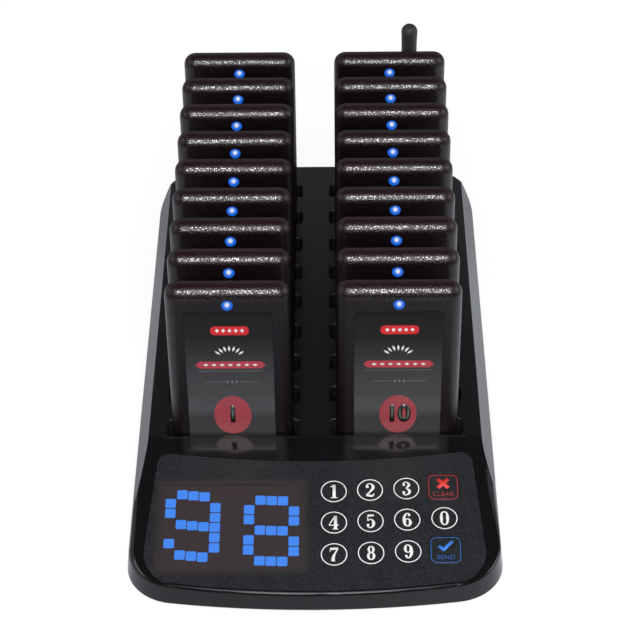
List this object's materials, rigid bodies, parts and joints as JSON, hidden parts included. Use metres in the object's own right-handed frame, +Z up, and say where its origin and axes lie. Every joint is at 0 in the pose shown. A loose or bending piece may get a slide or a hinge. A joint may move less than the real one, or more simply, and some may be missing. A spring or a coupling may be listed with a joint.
{
  "type": "guest pager system",
  "caption": "Counter-top charging base with a sloped keypad, a dotted two-digit display, an antenna and a slotted rack that holds lift-out guest pagers.",
  "frame": {"origin": "on the counter under the rubber feet, at the middle of the base's length and width", "axes": "+Z up, the keypad end faces -Y, +X to the right of someone at the keypad"},
  "size_m": [0.1864, 0.3356, 0.1344],
  "materials": {
    "housing_plastic": "fine spark-eroded grain, black ABS",
    "cover_plastic": "fine grain, black ABS",
    "foot_rubber": "matt moulded rubber",
    "screw_steel": "zinc-plated, cross recess",
    "overlay_film": "printed polycarbonate film, finely speckled",
    "display_plastic": "dark moulded block with translucent dots",
    "board_laminate": "green solder mask",
    "socket_plastic": "moulded black socket",
    "socket_brass": "turned and plated",
    "antenna_rubber": "satin moulded rubber",
    "slider_plastic": "moulded knob",
    "key_film": "printed film with a white ring and figure",
    "clear_key_film": "printed film with a red outline and cross",
    "call_key_film": "printed film with a blue outline and tick",
    "pager_plastic": "dark smoke-red translucent moulding, fine grain",
    "pager_core": "board with cell, motor, beeper, light and contacts"
  },
  "bodies": {
    "base": {"upper_housing": "housing_plastic", "bottom_cover": "cover_plastic", "rubber_feet": "foot_rubber", "screws": "screw_steel", "panel_overlay": "overlay_film", "display_block": "display_plastic", "control_board": "board_laminate", "charging_board": "board_laminate", "dc_inlet": "socket_plastic", "antenna_socket": "socket_brass"},
    "pager_01": {"pager_01_case": "pager_plastic", "pager_01_core": "pager_core"},
    "pager_02": {"pager_02_case": "pager_plastic", "pager_02_core": "pager_core"},
    "pager_03": {"pager_03_case": "pager_plastic", "pager_03_core": "pager_core"},
    "pager_04": {"pager_04_case": "pager_plastic", "pager_04_core": "pager_core"},
    "pager_05": {"pager_05_case": "pager_plastic", "pager_05_core": "pager_core"},
    "pager_06": {"pager_06_case": "pager_plastic", "pager_06_core": "pager_core"},
    "pager_07": {"pager_07_case": "pager_plastic", "pager_07_core": "pager_core"},
    "pager_08": {"pager_08_case": "pager_plastic", "pager_08_core": "pager_core"},
    "pager_09": {"pager_09_case": "pager_plastic", "pager_09_core": "pager_core"},
    "pager_10": {"pager_10_case": "pager_plastic", "pager_10_core": "pager_core"},
    "pager_11": {"pager_11_case": "pager_plastic", "pager_11_core": "pager_core"},
    "pager_12": {"pager_12_case": "pager_plastic", "pager_12_core": "pager_core"},
    "pager_13": {"pager_13_case": "pager_plastic", "pager_13_core": "pager_core"},
    "pager_14": {"pager_14_case": "pager_plastic", "pager_14_core": "pager_core"},
    "pager_15": {"pager_15_case": "pager_plastic", "pager_15_core": "pager_core"},
    "pager_16": {"pager_16_case": "pager_plastic", "pager_16_core": "pager_core"},
    "pager_17": {"pager_17_case": "pager_plastic", "pager_17_core": "pager_core"},
    "pager_18": {"pager_18_case": "pager_plastic", "pager_18_core": "pager_core"},
    "key_0": {"key_0": "key_film"},
    "key_1": {"key_1": "key_film"},
    "key_2": {"key_2": "key_film"},
    "key_3": {"key_3": "key_film"},
    "key_4": {"key_4": "key_film"},
    "key_5": {"key_5": "key_film"},
    "key_6": {"key_6": "key_film"},
    "key_7": {"key_7": "key_film"},
    "key_8": {"key_8": "key_film"},
    "key_9": {"key_9": "key_film"},
    "key_clear": {"key_clear": "clear_key_film"},
    "key_call": {"key_call": "call_key_film"},
    "antenna": {"antenna": "antenna_rubber"},
    "power_slider": {"power_slider": "slider_plastic"}
  },
  "joints": [
    {"name": "pager_01_lift", "type": "slide", "parent": "base", "child": "pager_01", "axis": [0, 0, 1], "range_m": [0, 0.115]},
    {"name": "pager_02_lift", "type": "slide", "parent": "base", "child": "pager_02", "axis": [0, 0, 1], "range_m": [0, 0.115]},
    {"name": "pager_03_lift", "type": "slide", "parent": "base", "child": "pager_03", "axis": [0, 0, 1], "range_m": [0, 0.115]},
    {"name": "pager_04_lift", "type": "slide", "parent": "base", "child": "pager_04", "axis": [0, 0, 1], "range_m": [0, 0.115]},
    {"name": "pager_05_lift", "type": "slide", "parent": "base", "child": "pager_05", "axis": [0, 0, 1], "range_m": [0, 0.115]},
    {"name": "pager_06_lift", "type": "slide", "parent": "base", "child": "pager_06", "axis": [0, 0, 1], "range_m": [0, 0.115]},
    {"name": "pager_07_lift", "type": "slide", "parent": "base", "child": "pager_07", "axis": [0, 0, 1], "range_m": [0, 0.115]},
    {"name": "pager_08_lift", "type": "slide", "parent": "base", "child": "pager_08", "axis": [0, 0, 1], "range_m": [0, 0.115]},
    {"name": "pager_09_lift", "type": "slide", "parent": "base", "child": "pager_09", "axis": [0, 0, 1], "range_m": [0, 0.115]},
    {"name": "pager_10_lift", "type": "slide", "parent": "base", "child": "pager_10", "axis": [0, 0, 1], "range_m": [0, 0.115]},
    {"name": "pager_11_lift", "type": "slide", "parent": "base", "child": "pager_11", "axis": [0, 0, 1], "range_m": [0, 0.115]},
    {"name": "pager_12_lift", "type": "slide", "parent": "base", "child": "pager_12", "axis": [0, 0, 1], "range_m": [0, 0.115]},
    {"name": "pager_13_lift", "type": "slide", "parent": "base", "child": "pager_13", "axis": [0, 0, 1], "range_m": [0, 0.115]},
    {"name": "pager_14_lift", "type": "slide", "parent": "base", "child": "pager_14", "axis": [0, 0, 1], "range_m": [0, 0.115]},
    {"name": "pager_15_lift", "type": "slide", "parent": "base", "child": "pager_15", "axis": [0, 0, 1], "range_m": [0, 0.115]},
    {"name": "pager_16_lift", "type": "slide", "parent": "base", "child": "pager_16", "axis": [0, 0, 1], "range_m": [0, 0.115]},
    {"name": "pager_17_lift", "type": "slide", "parent": "base", "child": "pager_17", "axis": [0, 0, 1], "range_m": [0, 0.115]},
    {"name": "pager_18_lift", "type": "slide", "parent": "base", "child": "pager_18", "axis": [0, 0, 1], "range_m": [0, 0.115]},
    {"name": "key_0_press", "type": "slide", "parent": "base", "child": "key_0", "axis": [0, 0.1925, -0.9813], "range_m": [0, 0.0004], "stiffness_N_per_m": 1500, "springref_m": -0.0004},
    {"name": "key_1_press", "type": "slide", "parent": "base", "child": "key_1", "axis": [0, 0.1925, -0.9813], "range_m": [0, 0.0004], "stiffness_N_per_m": 1500, "springref_m": -0.0004},
    {"name": "key_2_press", "type": "slide", "parent": "base", "child": "key_2", "axis": [0, 0.1925, -0.9813], "range_m": [0, 0.0004], "stiffness_N_per_m": 1500, "springref_m": -0.0004},
    {"name": "key_3_press", "type": "slide", "parent": "base", "child": "key_3", "axis": [0, 0.1925, -0.9813], "range_m": [0, 0.0004], "stiffness_N_per_m": 1500, "springref_m": -0.0004},
    {"name": "key_4_press", "type": "slide", "parent": "base", "child": "key_4", "axis": [0, 0.1925, -0.9813], "range_m": [0, 0.0004], "stiffness_N_per_m": 1500, "springref_m": -0.0004},
    {"name": "key_5_press", "type": "slide", "parent": "base", "child": "key_5", "axis": [0, 0.1925, -0.9813], "range_m": [0, 0.0004], "stiffness_N_per_m": 1500, "springref_m": -0.0004},
    {"name": "key_6_press", "type": "slide", "parent": "base", "child": "key_6", "axis": [0, 0.1925, -0.9813], "range_m": [0, 0.0004], "stiffness_N_per_m": 1500, "springref_m": -0.0004},
    {"name": "key_7_press", "type": "slide", "parent": "base", "child": "key_7", "axis": [0, 0.1925, -0.9813], "range_m": [0, 0.0004], "stiffness_N_per_m": 1500, "springref_m": -0.0004},
    {"name": "key_8_press", "type": "slide", "parent": "base", "child": "key_8", "axis": [0, 0.1925, -0.9813], "range_m": [0, 0.0004], "stiffness_N_per_m": 1500, "springref_m": -0.0004},
    {"name": "key_9_press", "type": "slide", "parent": "base", "child": "key_9", "axis": [0, 0.1925, -0.9813], "range_m": [0, 0.0004], "stiffness_N_per_m": 1500, "springref_m": -0.0004},
    {"name": "key_clear_press", "type": "slide", "parent": "base", "child": "key_clear", "axis": [0, 0.1925, -0.9813], "range_m": [0, 0.0004], "stiffness_N_per_m": 1500, "springref_m": -0.0004},
    {"name": "key_call_press", "type": "slide", "parent": "base", "child": "key_call", "axis": [0, 0.1925, -0.9813], "range_m": [0, 0.0004], "stiffness_N_per_m": 1500, "springref_m": -0.0004},
    {"name": "antenna_turn", "type": "hinge", "parent": "base", "child": "antenna", "pos_m": [0.0534, 0.15325, 0.0394], "axis": [0, 0, 1], "continuous": true},
    {"name": "power_slide", "type": "slide", "parent": "base", "child": "power_slider", "axis": [1, 0, 0], "range_m": [0, 0.003]}
  ]
}
